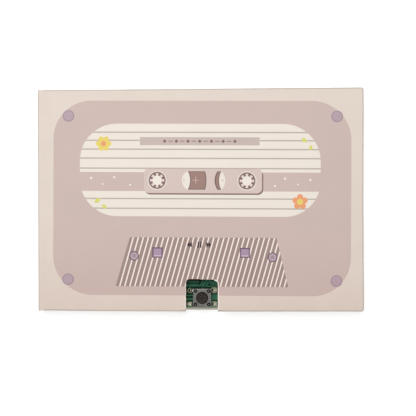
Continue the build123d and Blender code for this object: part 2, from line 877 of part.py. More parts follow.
with BuildPart() as solder_joints:
    add(build_switch_joints(play_switch_place, play_terminals).part)
    add(build_switch_joints(record_switch_place, record_terminals).part)
    for place, clip in zip(cell_places, clips):
        add(build_clip_joints(place, clip).part)
    for side in (-1, 1):
        add(build_pad_joint(side).part)
        add(build_lug_joint(side).part)
write_piece(solder_joints, "solder_joints")
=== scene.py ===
import json
import math
import random

import bmesh
import bpy
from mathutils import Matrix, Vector
from mathutils.geometry import tessellate_polygon


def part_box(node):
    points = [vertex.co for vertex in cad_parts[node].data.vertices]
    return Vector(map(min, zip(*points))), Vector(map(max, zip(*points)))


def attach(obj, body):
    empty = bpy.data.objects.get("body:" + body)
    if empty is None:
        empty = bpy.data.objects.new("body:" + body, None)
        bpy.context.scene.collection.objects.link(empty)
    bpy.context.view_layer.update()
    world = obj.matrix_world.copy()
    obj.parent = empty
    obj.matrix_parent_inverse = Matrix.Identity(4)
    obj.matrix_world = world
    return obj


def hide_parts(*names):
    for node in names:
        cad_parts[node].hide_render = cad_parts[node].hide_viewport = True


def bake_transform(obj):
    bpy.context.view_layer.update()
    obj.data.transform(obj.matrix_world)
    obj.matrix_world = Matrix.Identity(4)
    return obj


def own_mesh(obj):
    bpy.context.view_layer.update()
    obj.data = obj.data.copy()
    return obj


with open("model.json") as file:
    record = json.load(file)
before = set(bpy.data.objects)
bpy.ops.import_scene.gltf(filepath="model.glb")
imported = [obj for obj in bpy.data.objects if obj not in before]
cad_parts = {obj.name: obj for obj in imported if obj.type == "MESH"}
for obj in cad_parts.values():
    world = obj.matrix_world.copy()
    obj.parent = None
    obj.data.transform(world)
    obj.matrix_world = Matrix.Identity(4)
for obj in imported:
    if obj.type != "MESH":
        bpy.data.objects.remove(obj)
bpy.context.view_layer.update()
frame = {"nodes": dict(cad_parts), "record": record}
nodes = frame["nodes"]

# Sizes are in millimetres, in the frame of the card, and MM turns them into metres.
MM = 0.001
CARD_TOP = 7.05
CARD_HALF_WIDTH = 54.25
CARD_HALF_HEIGHT = 37.0
BOARD_TOP = 2.0

# Materials


def linear(colour):
    """Linear values of a colour written as 0 to 255."""
    return [
        (c / 255 / 12.92) if c / 255 <= 0.04045 else ((c / 255 + 0.055) / 1.055) ** 2.4
        for c in colour
    ]


def spread(colour, below, above):
    """A darker and a lighter tone of a colour, by these shares of it."""
    base = linear(colour)
    return [c * (1 - below) for c in base], [min(1, c * (1 + above)) for c in base]


class Nodes:
    """A node tree that is put together by short calls."""

    def __init__(self, tree):
        self.tree = tree

    def feed(self, node, inputs):
        """Links inputs of a node to sockets, or sets them to plain values; a colour gets its alpha."""
        for key, value in inputs.items():
            socket = node.inputs[key]
            if isinstance(value, bpy.types.NodeSocket):
                self.tree.links.new(value, socket)
            elif isinstance(value, (tuple, list)) and len(value) < len(socket.default_value):
                socket.default_value = (*value, 1)
            else:
                socket.default_value = value

    def add(self, kind, inputs=None, **settings):
        node = self.tree.nodes.new(kind)
        for key, value in settings.items():
            setattr(node, key, value)
        self.feed(node, inputs or {})
        return node

    def maths(self, operation, *values, kind="ShaderNodeMath"):
        """The outputs of a maths node that takes sockets and plain values."""
        return self.add(kind, dict(enumerate(values)), operation=operation).outputs


class Look(Nodes):
    """A principled material that is put together from a few procedural layers."""

    def __init__(self, name, roughness, metallic=0.0, specular=0.5):
        self.material = bpy.data.materials.new(name)
        self.material.use_nodes = True
        super().__init__(self.material.node_tree)
        self.shader = self.tree.nodes["Principled BSDF"]
        self.shade({"Roughness": roughness, "Metallic": metallic, "Specular IOR Level": specular})
        self.place = self.add("ShaderNodeTexCoord").outputs["Object"]
        self.height = None

    def shade(self, inputs):
        self.feed(self.shader, inputs)

    def noise(self, size, detail=3.0, rough=0.55, stretch=(1, 1, 1)):
        """Cloudy noise whose blobs are about this many millimetres across, shortened along some axes."""
        mapping = self.add("ShaderNodeMapping", {"Vector": self.place, "Scale": stretch})
        return self.add("ShaderNodeTexNoise", {
            "Vector": mapping.outputs[0], "Scale": 1 / (size * MM), "Detail": detail, "Roughness": rough,
        }).outputs["Fac"]

    def cells(self, size):
        """Distance from the middles of cells of about this many millimetres."""
        inputs = {"Vector": self.place, "Scale": 1 / (size * MM)}
        return self.add("ShaderNodeTexVoronoi", inputs).outputs["Distance"]

    def ranged(self, value, low, high, start=0.3, end=0.7):
        """The value, carried from start..end to low..high."""
        return self.add("ShaderNodeMapRange", {
            "Value": value, "From Min": start, "From Max": end, "To Min": low, "To Max": high,
        }).outputs["Result"]

    def mix(self, factor, first, second, blend="MIX"):
        """Two colours, or the outputs of two nodes, mixed by a factor."""
        inputs = {"Factor": factor, 6: first, 7: second}
        return self.add("ShaderNodeMix", inputs, data_type="RGBA", blend_type=blend).outputs[2]

    def bump(self, value, depth):
        """Raises the surface by the value, depth being the full height in millimetres."""
        inputs = {"Strength": 1.0, "Distance": depth * MM, "Height": value}
        if self.height is not None:
            inputs["Normal"] = self.height
        self.height = self.add("ShaderNodeBump", inputs).outputs["Normal"]
        self.shade({"Normal": self.height})


# Painted shade: the card is made a little warmer and darker towards the foot.
FOOT_SHADE_TONE, FOOT_SHADE_FROM, FOOT_SHADE_POWER = (0.945, 0.895, 0.88), 6.0, 3
RING_PITCH = 0.22


def paper(name, colour, grain=0.02, fibre=0.012, foot_shade=True):
    """Card stock or ink on it: mottled, fibres one way, with painted shade that makes it warmer and darker
    towards the foot.
    """
    roughness, change = 0.62, 0.06
    look = Look(name, roughness, specular=0.3)
    cloud = look.ranged(look.noise(9, 4), 0, 1)
    fibres = look.noise(0.35, 2, 0.6, stretch=(0.22, 1, 1))
    mottled = look.mix(cloud, *spread(colour, grain, grain))
    fleck = look.ranged(fibres, 0, fibre * 6, 0.45, 0.8)
    tone = look.mix(fleck, mottled, spread(colour, 0, 0.12)[1])
    # Painted shade towards the foot
    if foot_shade:
        axes = look.add("ShaderNodeSeparateXYZ", {0: look.place})
        near_foot = look.ranged(axes.outputs["Y"], 1, 0, -CARD_HALF_HEIGHT * MM, FOOT_SHADE_FROM * MM)
        foot_shading = look.maths("POWER", near_foot, FOOT_SHADE_POWER)[0]
        tone = look.mix(foot_shading, tone, FOOT_SHADE_TONE, "MULTIPLY")
    look.shade({"Base Color": tone})
    look.shade({"Roughness": look.ranged(look.noise(0.5, 2), roughness - change, roughness + change)})
    look.bump(fibres, 0.012)
    look.bump(look.noise(2.2, 2), 0.01)
    return look.material


def plastic(name, colour, roughness=0.45, grain=0.25, depth=0.01, specular=0.25, patch=1.0):
    """Moulded plastic with a fine spark-eroded grain and a few dull patches."""
    look = Look(name, roughness, specular=specular)
    cloud = look.ranged(look.noise(patch, 5, 0.75), 0, 1, 0.38, 0.62)
    look.shade({"Base Color": look.mix(cloud, *spread(colour, grain, grain))})
    look.shade({"Roughness": look.ranged(look.noise(0.6, 3), roughness - 0.1, roughness + 0.12)})
    look.bump(look.noise(0.09, 2), depth)
    return look.material


def metal(name, colour, roughness, brush=(1, 1, 1), wear=0.12):
    """Bare or plated metal, brushed along one axis, with duller and lighter patches."""
    look = Look(name, roughness, metallic=1.0)
    patch = look.ranged(look.noise(1.1, 4, 0.65), 0, 1)
    look.shade({"Base Color": look.mix(patch, *spread(colour, wear, wear))})
    strokes = look.noise(0.08, 3, 0.7, stretch=brush)
    look.shade({"Roughness": look.ranged(strokes, roughness - 0.1, roughness + 0.14)})
    look.bump(strokes, 0.006)
    return look.material


def turned_metal(name, colour, centres, roughness):
    """Metal with the fine rings of a stamped or turned face around each centre."""
    look = Look(name, roughness, metallic=1.0)
    nearest, vector = None, "ShaderNodeVectorMath"
    for x, y in centres:
        offset = look.maths("SUBTRACT", look.place, (x * MM, y * MM, 0), kind=vector)[0]
        flat = look.maths("MULTIPLY", offset, (1, 1, 0), kind=vector)[0]
        distance = look.maths("LENGTH", flat, kind=vector)["Value"]
        nearest = distance if nearest is None else look.maths("MINIMUM", nearest, distance)[0]
    rings = look.maths("SINE", look.maths("MULTIPLY", nearest, 2 * math.pi / (RING_PITCH * MM))[0])[0]
    patch = look.ranged(look.noise(3.5, 4), 0, 1)
    look.shade({"Base Color": look.mix(patch, *spread(colour, 0.1, 0.05))})
    look.shade({"Roughness": look.ranged(look.noise(1.6, 3), roughness - 0.04, roughness + 0.07)})
    look.bump(look.ranged(rings, 0, 1, -1, 1), 0.008)
    look.bump(look.noise(0.3, 3), 0.003)
    return look.material


def laminate(name, colour, weave=0.25):
    """Glass-fibre board under a coat of solder mask: a faint weave and a soft gloss."""
    roughness = 0.34
    look = Look(name, roughness, specular=0.05)
    look.shade({"Coat Weight": 0.03, "Coat Roughness": 0.2})
    weft = look.noise(0.5, 1, 0.4, stretch=(0.3, 1, 1))
    warp = look.noise(0.5, 1, 0.4, stretch=(1, 0.3, 1))
    crossed = look.maths("MULTIPLY", weft, warp)[0]
    look.shade({"Base Color": look.mix(look.ranged(crossed, 0, 1, 0.15, 0.4), *spread(colour, weave, weave))})
    look.shade({"Roughness": look.ranged(look.noise(0.7, 3), roughness - 0.05, roughness + 0.12)})
    look.bump(crossed, 0.02)
    return look.material


def foam(name, colour, cell, depth, shade=0.28):
    """Cut foam: open cells, with painted shade in their depths."""
    look = Look(name, 0.85, specular=0.2)
    holes = look.cells(cell)
    look.shade({"Base Color": look.mix(look.ranged(holes, 0, 1, 0.1, 0.7), *spread(colour, shade, 0))})
    look.bump(holes, depth)
    look.bump(look.noise(3, 3), 0.08)
    return look.material


def felt(name, colour):
    """Felt, with short hairs that stand up."""
    look = Look(name, 0.95, specular=0.1)
    hairs = look.noise(0.12, 4, 0.8)
    look.shade({"Base Color": look.mix(look.ranged(hairs, 0, 1), *spread(colour, 0.5, 0.7))})
    look.shade({"Sheen Weight": 0.3})
    look.bump(hairs, 0.08)
    return look.material


# A name that the frame's own materials have gets a number after a full stop.
looks = {look.name.split(".")[0]: look for look in (
    paper("card_stock", (230, 216, 205)),
    paper("lining_paper", (238, 231, 220), grain=0.015, foot_shade=False),
    paper("panel_card", (231, 222, 211), foot_shade=False),
    foam("foam_board", (250, 246, 238), cell=0.2, depth=0.04, shade=0.14),
    laminate("board_laminate", (15, 56, 34)),
    foam("foam_tape", (224, 220, 208), cell=0.2, depth=0.05),
    foam("gasket_foam", (38, 38, 38), cell=0.25, depth=0.08),
    plastic("epoxy", (22, 22, 23), roughness=0.24, grain=0.15, depth=0.004),
    plastic("switch_plastic", (30, 27, 26), roughness=0.6, specular=0.06),
    plastic("plunger_plastic", (54, 47, 43), roughness=0.65, grain=0.5, specular=0.1, patch=0.55),
    metal("switch_steel", (96, 94, 92), roughness=0.42, brush=(1, 0.12, 1), wear=0.22),
    metal("spring_steel", (158, 156, 151), roughness=0.3, brush=(0.1, 1, 1)),
    metal("tinned_metal", (164, 160, 146), roughness=0.34),
    metal("contact_metal", (190, 162, 100), roughness=0.36),
    metal("microphone_metal", (168, 168, 168), roughness=0.34, brush=(1, 1, 0.2)),
    felt("microphone_felt", (30, 29, 28)),
    plastic("lamp_resin", (196, 60, 54), roughness=0.2, grain=0.08, depth=0.003),
    plastic("resistor_ceramic", (40, 40, 43), roughness=0.35, grain=0.1),
    plastic("capacitor_ceramic", (172, 140, 105), roughness=0.5, grain=0.1),
    metal("speaker_steel", (130, 129, 126), roughness=0.42),
    metal("magnet_metal", (160, 160, 164), roughness=0.34),
    plastic("diaphragm_film", (38, 38, 40), roughness=0.3, grain=0.1, depth=0.004),
    metal("coil_copper", (214, 140, 96), roughness=0.3, brush=(1, 1, 0.1)),
    plastic("phenolic_board", (140, 96, 62), roughness=0.5, grain=0.2),
    plastic("red_insulation", (186, 38, 36), roughness=0.38, grain=0.08),
    plastic("black_insulation", (30, 30, 31), roughness=0.38, grain=0.08),
)}


def centre_of(node):
    """The middle of a node's box, seen from above."""
    low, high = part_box(node)
    return ((low.x + high.x) / 2 / MM, (low.y + high.y) / 2 / MM)


cell_centres = [centre_of(f"battery_cell_{number}") for number in (1, 2, 3)]
looks["cell_steel"] = turned_metal("cell_steel", (146, 146, 149), cell_centres, 0.36)
looks["yoke_steel"] = turned_metal("yoke_steel", (140, 138, 134), [centre_of("speaker_yoke")], 0.38)

for subpart in frame["record"]["subparts"]:
    node = nodes[subpart["node"]]
    node.data.materials.clear()
    node.data.materials.append(looks[subpart["material_slot"]])

# Mesh helpers

# A smooth edge turns by this many degrees at most; a corner is mitred in full while the cosine of half its
# turn is at least this.
SMOOTH_UP_TO, MITRE_FROM = 40, 0.7


def add_object(name, data):
    """An object in the scene that shows this mesh, lamp or camera."""
    thing = bpy.data.objects.new(name, data)
    bpy.context.scene.collection.objects.link(thing)
    return thing


def build_mesh(name, points, faces, materials, body, indices=None, smooth=False):
    """A closed mesh from points in millimetres, with these materials, which rides on the body where one is
    given.
    """
    mesh = bpy.data.meshes.new(name)
    mesh.from_pydata([(x * MM, y * MM, z * MM) for x, y, z in points], [], faces)
    for material in materials:
        mesh.materials.append(material)
    if indices:
        mesh.polygons.foreach_set("material_index", indices)
    shape = bmesh.new()
    shape.from_mesh(mesh)
    bmesh.ops.recalc_face_normals(shape, faces=shape.faces)
    shape.to_mesh(mesh)
    shape.free()
    if smooth:
        mesh.shade_smooth()
        mesh.set_sharp_from_angle(angle=math.radians(SMOOTH_UP_TO))
    piece = add_object(name, mesh)
    if body:
        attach(piece, body)
    return piece


def walls(loops, start, size):
    """The faces between two rows of the points of the loops, the rows being this many points apart."""
    faces = []
    for loop in loops:
        count = len(loop)
        for i in range(count):
            a, b = start + i, start + (i + 1) % count
            faces.append([a, b, b + size, a + size])
        start += count
    return faces


def offset(points, amount, closed):
    """A line or closed loop, moved to its left, which is inward where a loop runs counter-clockwise."""
    line = []
    for i, point in enumerate(points):
        here, runs = Vector(point), []
        if closed or i > 0:
            runs.append((here - Vector(points[i - 1])).normalized())
        if closed or i < len(points) - 1:
            runs.append((Vector(points[(i + 1) % len(points)]) - here).normalized())
        along = sum(runs, Vector((0, 0))).normalized()
        side = Vector((-along.y, along.x)) * (amount / max(MITRE_FROM, along.dot(runs[-1])))
        line.append(tuple(here + side))
    return line


def add_form(points, faces, loops, rows):
    """Adds a closed form; each row gives the inset of its loops and its level, from below upward.

    The first loop is the outline and the others are holes; where there are insets, the outline runs
    counter-clockwise and the holes clockwise.
    """
    start, size = len(points), sum(len(loop) for loop in loops)
    levels = [[offset(loop, inset, True) if inset else loop for loop in loops] for inset, level in rows]
    for drawn, (inset, level) in zip(levels, rows):
        points += [(*point, level) for loop in drawn for point in loop]
    for row in range(len(rows) - 1):
        faces += walls(loops, start + row * size, size)
    for row in (0, len(rows) - 1):
        for corners in tessellate_polygon([[Vector((*point, 0)) for point in loop] for loop in levels[row]]):
            faces.append([start + row * size + i for i in corners])


def prisms(name, shapes, low, high, material, body, slot):
    """One piece from several prisms; each shape is a list of loops."""
    points, faces = [], []
    for loops in shapes:
        add_form(points, faces, loops, [(0, low), (0, high)])
    return build_mesh(name, points, faces, [material], body)


def sheet_form(name, loops, rows, materials, body, pick):
    """A flat sheet with holes, from loops and rows as above.

    The faces between two rows get the material that pick(row, x, y) gives, the flat faces the first.
    """
    points, faces = [], []
    add_form(points, faces, loops, rows)
    indices = [pick(row, *point) for row in range(len(rows) - 1) for loop in loops for point in loop]
    indices += [0] * (len(faces) - len(indices))
    return build_mesh(name, points, faces, materials, body, indices)


def moved(points, angle, x, y):
    """The points, turned about the origin by an angle in degrees and then shifted."""
    c, s = math.cos(math.radians(angle)), math.sin(math.radians(angle))
    return [(c * px - s * py + x, s * px + c * py + y) for px, py in points]


def arc(x, y, radius, start, end, steps):
    """Points along an arc, its angles in degrees."""
    angles = [math.radians(start + (end - start) * i / steps) for i in range(steps + 1)]
    return [(x + radius * math.cos(a), y + radius * math.sin(a)) for a in angles]


def circle(x, y, radius, steps=48):
    return arc(x, y, radius, 0, 360 - 360 / steps, steps - 1)


def discs(places, radius, steps=48):
    return [[circle(*place, radius, steps)] for place in places]


def ring(x, y, inner, outer, steps=48):
    return [circle(x, y, outer, steps), circle(x, y, inner, steps)[::-1]]


def diamond(x, y, half_x, half_y):
    return [(x - half_x, y), (x, y - half_y), (x + half_x, y), (x, y + half_y)]


def cornered(left, lower, right, upper, radii, steps):
    """Rectangle with rounded corners; the radii go round from the lower right corner."""
    a, b, c, d = radii
    return (
        arc(right - a, lower + a, a, -90, 0, steps) + arc(right - b, upper - b, b, 0, 90, steps)
        + arc(left + c, upper - c, c, 90, 180, steps) + arc(left + d, lower + d, d, 180, 270, steps)
    )


def rounded(left, lower, right, upper, radius, steps=10):
    return cornered(left, lower, right, upper, [radius] * 4, steps)


def box_loop(left, lower, right, upper):
    return [(left, lower), (right, lower), (right, upper), (left, upper)]


def centred_box(x, y, half_x, half_y):
    return box_loop(x - half_x, y - half_y, x + half_x, y + half_y)


def clipped(loop, fence):
    """The part of a loop inside a convex fence that runs counter-clockwise."""
    for (ax, ay), (bx, by) in zip(fence, fence[1:] + fence[:1]):
        kept = []
        for (px, py), (qx, qy) in zip(loop, loop[1:] + loop[:1]):
            p_in = (bx - ax) * (py - ay) - (by - ay) * (px - ax)
            q_in = (bx - ax) * (qy - ay) - (by - ay) * (qx - ax)
            if p_in >= 0:
                kept.append((px, py))
            if (p_in > 0 > q_in) or (p_in < 0 < q_in):
                share = p_in / (p_in - q_in)
                kept.append((px + (qx - px) * share, py + (qy - py) * share))
        loop = kept
        if len(loop) < 3:
            return []
    return loop


def stroke(points, width):
    """Outline of a line with a width, mitred at its corners."""
    return offset(points, width / 2, False) + offset(points, -width / 2, False)[::-1]


def mound(points, faces, loop, place, level, profile):
    """Adds a closed form over a loop round a place.

    Each entry of the profile is a share of the loop and a height; the first and the last are at the place.
    """
    start, size = len(points), len(loop)
    points.append((*place, level + profile[0][1]))
    for share, height in profile[1:-1]:
        points += [
            (place[0] + (x - place[0]) * share, place[1] + (y - place[1]) * share, level + height)
            for x, y in loop
        ]
    points.append((*place, level + profile[-1][1]))
    last = len(points) - 1
    low, high = start + 1, last - size
    for row in range(low, high, size):
        faces += walls([loop], row, size)
    for i in range(size):
        after = (i + 1) % size
        faces += [[start, low + after, low + i], [high + i, high + after, last]]


def lathe(points, faces, place, level, profile, steps):
    """Adds a closed turned form; the profile is radius and height, from the axis below to the axis above."""
    mound(points, faces, circle(*place, 1, steps), place, level, profile)


# Front cover and back leaf

# The sheets were cut a little out of square; the corners go round from the lower left.
CORNERS = [(-54.25, -36.8), (54.25, -37.15), (54.3, 37.2), (-54.25, 36.85)]
CORNER_RADII = [0.45, 0.85, 0.8, 0.35]
BACK_CORNERS = [(-54.25, -36.9), (54.2, -37.35), (54.2, 36.95), (-54.25, 36.9)]
BACK_RADII = [0.4, 1.1, 1.0, 0.4]
INWARD = [(1, 1), (-1, 1), (-1, -1), (1, -1)]
CORNER_START = [180, 270, 0, 90]
FOOT_POINT, SIDE_POINT = (-34.0, -37.03), (54.12, 0.0)
NOTCH_LEFT, NOTCH_RIGHT, NOTCH_TOP, NOTCH_DIP = -4.85, 5.75, -26.3, 0.27
NOTCH_RADIUS, NOTCH_FEET = 1.3, (-37.15, -37.17)
BELOW_CARD = (-39.0, -39.0)
STOCK_THICKNESS = 0.45
SOUND_HOLE_RADIUS, SOUND_HOLE_PITCH = 0.8, 3.4


def dense(points, step, rough, seed):
    """The line with points at most a step apart, each moved a little across the line."""
    wobble = random.Random(seed)
    filled = []
    for (ax, ay), (bx, by) in zip(points, points[1:]):
        length = math.hypot(bx - ax, by - ay)
        parts = max(1, int(length / step))
        for i in range(parts):
            push = wobble.uniform(-rough, rough) if i else 0
            share = i / parts
            filled.append(
                (ax + (bx - ax) * share - (by - ay) / length * push,
                 ay + (by - ay) * share + (bx - ax) / length * push))
    filled.append(points[-1])
    return filled


def notch_loop(left, right, top, foot=BELOW_CARD):
    """Line round the finger notch, from its left foot over its top to its right foot."""
    radius = NOTCH_RADIUS
    return (
        [(left, foot[0])]
        + arc(left + radius, top - radius, radius, 180, 90, 6)
        + [(-1.0, top - 0.06), (0.1, top - 0.2)]
        + arc(right - radius, top - NOTCH_DIP - radius, radius, 90, 0, 6)
        + [(right, foot[1])]
    )


def corner(corners, radii, index, steps):
    """The rounded corner of a sheet, as part of its outline."""
    (x, y), radius, start = corners[index], radii[index], CORNER_START[index]
    way_x, way_y = INWARD[index]
    return arc(x + way_x * radius, y + way_y * radius, radius, start, start + 90, steps)


def cover_outline():
    """Outline of the front cover, with its finger notch, counter-clockwise."""
    lower_left, *others = (corner(CORNERS, CORNER_RADII, index, 8) for index in range(4))
    notch = dense(notch_loop(NOTCH_LEFT, NOTCH_RIGHT, NOTCH_TOP, NOTCH_FEET), 0.3, 0.045, 2)
    parts = [lower_left, notch, *others]
    edges = (([FOOT_POINT], 0.015, 1), ([], 0.02, 3), ([SIDE_POINT], 0.015, 4), ([], 0.01, 5), ([], 0.0, 6))
    outline = []
    for i, (between, rough, seed) in enumerate(edges):
        run = [parts[i][-1], *between, parts[(i + 1) % len(parts)][0]]
        outline += parts[i] + dense(run, 2.0, rough, seed)[1:-1]
    return outline


def in_notch(x, y):
    """Whether a point of the outline is on the notch's edge."""
    near, foot = 0.8, -36.5
    return NOTCH_LEFT - near < x < NOTCH_RIGHT + near and foot < y < NOTCH_TOP + near


def pressed_edge(low, high):
    """Rows of a cut edge of card: rounded below and above by the cutting press."""
    radius, crown_drop = 0.17, 0.03
    crown = high - crown_drop - radius
    rows = [(radius * (1 - math.cos(a)), low + radius - radius * math.sin(a)) for a in (1.57, 0.9, 0.4, 0)]
    rows += [(radius * (1 - math.cos(a)), crown + radius * math.sin(a)) for a in (0, 0.4, 0.9, 1.4)]
    return rows + [(0.27, high - 0.012), (0.4, high)]


# The darker paper of the cut edges is painted shade.
edge_shade_paper = paper("card_edge_shade", (200, 190, 180), grain=0.05, fibre=0.05)
core_paper = paper("card_core", (247, 236, 228), grain=0.04, fibre=0.06)
inside_paper = paper("inside_paper", (244, 240, 222), foot_shade=False)


# The front leaf's stock has pressed, rounded edges. Their faces take a darker paper as painted shade, and a
# paler core paper where the notch was punched.
cover = sheet_form(
    "cover_sheet", [cover_outline()], pressed_edge(CARD_TOP - STOCK_THICKNESS, CARD_TOP),
    [looks["card_stock"], edge_shade_paper, core_paper], "front_leaf",
    lambda row, x, y: 2 if in_notch(x, y) else 1)
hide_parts("front_cover")


def build_back():
    """The back leaf, which reaches a little past the front one at the foot, and its sound holes."""
    corner_steps, bevel = 6, 0.06
    corners = [corner(BACK_CORNERS, BACK_RADII, index, corner_steps) for index in range(4)]
    foot = dense([corners[0][-1], corners[1][0]], 1.5, 0.03, 7)[1:-1]
    outline = corners[0] + foot + corners[1] + corners[2] + corners[3]
    middle = centre_of("speaker_yoke")
    places = [middle]
    for number in (1, 2, 3):
        places += moved(circle(0, 0, number * SOUND_HOLE_PITCH, 6 * number), 0, *middle)
    holes = [circle(*place, SOUND_HOLE_RADIUS, 20)[::-1] for place in places]
    rows = [(bevel, 0.0), (0.0, bevel), (0.0, STOCK_THICKNESS - bevel), (bevel, STOCK_THICKNESS)]
    # The edge faces take the darker paper as painted shade.
    back = sheet_form(
        "back_sheet", [outline] + holes, rows, [inside_paper, edge_shade_paper], "base",
        lambda row, x, y: 1)
    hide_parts("back_panel")


build_back()

# Torn fibres, and a dark sliver of painted shade, at the notch

FIBRE_WAD = [(4.35, -26.3), (4.62, -26.75), (4.95, -26.95), (5.3, -27.12), (5.55, -27.3), (5.95, -27.35),
             (5.95, -26.3)]
WAD_LOWER, WAD_UPPER = CARD_TOP - 0.4, CARD_TOP - 0.1
LOOSE_FIBRES, FIBRE_THICKNESS, FIBRE_ANGLE = 26, 0.04, 225
SLIVER_LOWER, SLIVER_UPPER, SLIVER_TOP = CARD_TOP - 0.62, CARD_TOP - 0.47, NOTCH_TOP + 0.3
NOTCH_SHADE_SLIVER = [(-4.7, SLIVER_TOP), (-4.62, -27.15), (-4.2, -26.85), (-3.4, -26.66), (-2.2, -26.7), (-0.9, -26.62),
        (0.0, -26.55), (2.0, -26.56), (2.4, SLIVER_TOP)]


def torn_corner():
    """A wad of torn fibres that the punch left in the notch's upper right corner."""
    wobble = random.Random(11)
    points, faces = [], []
    wad = dense(FIBRE_WAD + FIBRE_WAD[:1], 0.12, 0.05, 12)[:-1]
    add_form(points, faces, [wad], [(0, WAD_LOWER), (0, WAD_UPPER)])
    for i in range(LOOSE_FIBRES):
        # The roots follow a curve in the corner.
        share = i / (LOOSE_FIBRES - 1)
        x, y = 4.5 + 1.0 * share, -26.6 - 0.6 * share * share
        angle = FIBRE_ANGLE + wobble.uniform(-60, 60)
        length, low = wobble.uniform(0.15, 0.4), CARD_TOP - wobble.uniform(0.12, 0.36)
        hair = [(-0.1, -0.035), (length, -0.012), (length, 0.012), (-0.1, 0.035)]
        add_form(points, faces, [moved(hair, angle, x, y)], [(0, low), (0, low + FIBRE_THICKNESS)])
    build_mesh("torn_fibres", points, faces, [fibre_paper], "front_leaf")


fibre_paper = paper("torn_fibre_paper", (222, 232, 214), grain=0.05, fibre=0.08, foot_shade=False)
# The sliver's dark paper is painted shade.
sliver_shade_paper = paper("notch_shade_paper", (62, 34, 30), grain=0.15, foot_shade=False)
torn_corner()
# A dark sliver under the stock along the notch's top is painted shade.
shade_sliver = dense(NOTCH_SHADE_SLIVER + NOTCH_SHADE_SLIVER[:1], 0.2, 0.03, 13)[:-1]
prisms("notch_shade_sliver", [[shade_sliver]], SLIVER_LOWER, SLIVER_UPPER, sliver_shade_paper, "front_leaf", "lining_paper")

# Print

# The print's own middle and its turn on the sheet, in degrees; its coordinates go from there.
PRINT_X, PRINT_Y, PRINT_TURN = 0.55, 0.58, -0.381
INK_STEP, INK_ROOT = 0.008, 0.02


def ink(name, shapes, layer, tone):
    """A layer of ink: thin closed forms that stand a few hundredths over the stock."""
    placed = [[moved(loop, PRINT_TURN, PRINT_X, PRINT_Y) for loop in loops] for loops in shapes]
    low, high = CARD_TOP - INK_ROOT, CARD_TOP + INK_STEP * layer
    return prisms(f"print_{name}", placed, low, high, inks[tone], "front_leaf", None)


def punch(piece):
    """Cuts the piece through where the finger notch was punched."""
    loop = notch_loop(NOTCH_LEFT - 0.2, NOTCH_RIGHT + 0.4, NOTCH_TOP + 0.05)
    cutter = prisms("punch", [[loop]], CARD_TOP - 1, CARD_TOP + 1, inks["mauve"], None, None)
    cut = piece.modifiers.new("notch", "BOOLEAN")
    cut.operation, cut.solver, cut.object = "DIFFERENCE", "EXACT", cutter
    depsgraph = bpy.context.evaluated_depsgraph_get()
    mesh = bpy.data.meshes.new_from_object(piece.evaluated_get(depsgraph))
    piece.modifiers.clear()
    piece.data = mesh
    bpy.data.objects.remove(cutter)


# The colour and the grain of each ink
INKS = {
    "mauve": ((209, 188, 181), 0.012), "cream": ((242, 233, 222), 0.01), "line": ((190, 178, 167), 0.02),
    "plate": ((219, 200, 193), 0.012), "shade": ((142, 116, 110), 0.03), "dark": ((132, 106, 105), 0.03),
    "block": ((160, 130, 120), 0.03), "arc_edge": ((122, 97, 94), 0.03), "bar": ((164, 142, 135), 0.02),
    "strip": ((204, 187, 180), 0.015), "pale": ((236, 220, 211), 0.01), "stripe": ((255, 242, 234), 0.01),
    "white": ((244, 236, 226), 0.01), "lilac": ((175, 149, 173), 0.06), "pale_lilac": ((188, 170, 180), 0.05),
    "lilac_glint": ((222, 208, 218), 0.02), "lilac_edge": ((112, 84, 106), 0.04),
    "dot": ((187, 164, 174), 0.04), "dot_edge": ((166, 146, 156), 0.04), "mark": ((54, 36, 42), 0.03),
    "orange": ((240, 164, 116), 0.04), "yellow": ((236, 214, 112), 0.05), "lime": ((222, 220, 120), 0.04),
}
inks = {name: paper(f"{name}_ink", *look) for name, look in INKS.items()}

# Body, dots, label and its lines
BODY = cornered(-49.67, -32.42, 49.53, 32.42, (12.7, 13.2, 12.7, 13.2), 24)
LABEL = cornered(-40.82, -6.1, 39.4, 24.75, (11.9, 12.5, 12.35, 12.5), 20)
DOTS = [(-44.7, 27.3), (44.75, 27.3), (-44.65, -27.25), (44.8, -27.3)]
DOT_RIM, DOT_FILL = 1.95, 1.6
BEYOND = 60
BAND_LOWER, BAND_UPPER = 2.3, 8.62
LINE_LEVELS = [21.9, 19.2, 16.25, 13.25, 9.9, -0.2, -3.45]
LINE_HALF_WIDTH = 0.21
STRIP = (-20.75, 17.6, 19.1, 20.3)
STRIP_GAP = 0.1

punch(ink("body", [[BODY]], 1, "mauve"))
ink("dot_rims", discs(DOTS, DOT_RIM), 2, "dot_edge")
ink("dots", discs(DOTS, DOT_FILL), 3, "dot")
ink("label", [[LABEL]], 2, "cream")
ink("band", [[clipped(box_loop(-BEYOND, BAND_LOWER, BEYOND, BAND_UPPER), LABEL)]], 3, "mauve")
lines = []
for level in LINE_LEVELS:
    spans = [(-BEYOND, BEYOND)]
    if STRIP[1] < level < STRIP[3]:
        spans = [(-BEYOND, STRIP[0] - STRIP_GAP), (STRIP[2] + STRIP_GAP, BEYOND)]
    for left, right in spans:
        line = box_loop(left, level - LINE_HALF_WIDTH, right, level + LINE_HALF_WIDTH)
        lines.append([clipped(line, LABEL)])
ink("lines", lines, 3, "line")
ink("strip", [[box_loop(*STRIP)]], 3, "strip")

# A plain ornament of dashes and diamonds along the strip
ORNAMENT_X, ORNAMENT_Y, ORNAMENT_PITCH = -0.8, 18.95, 1.95
DASH_HALVES, DIAMOND_HALVES = (0.75, 0.11), (0.62, 0.62)
ornament = []
for i in range(-6, 7):
    place = (ORNAMENT_X + i * ORNAMENT_PITCH, ORNAMENT_Y)
    ornament.append([centred_box(*place, *DASH_HALVES) if i % 2 else diamond(*place, *DIAMOND_HALVES)])
ink("ornament", ornament, 4, "dark")

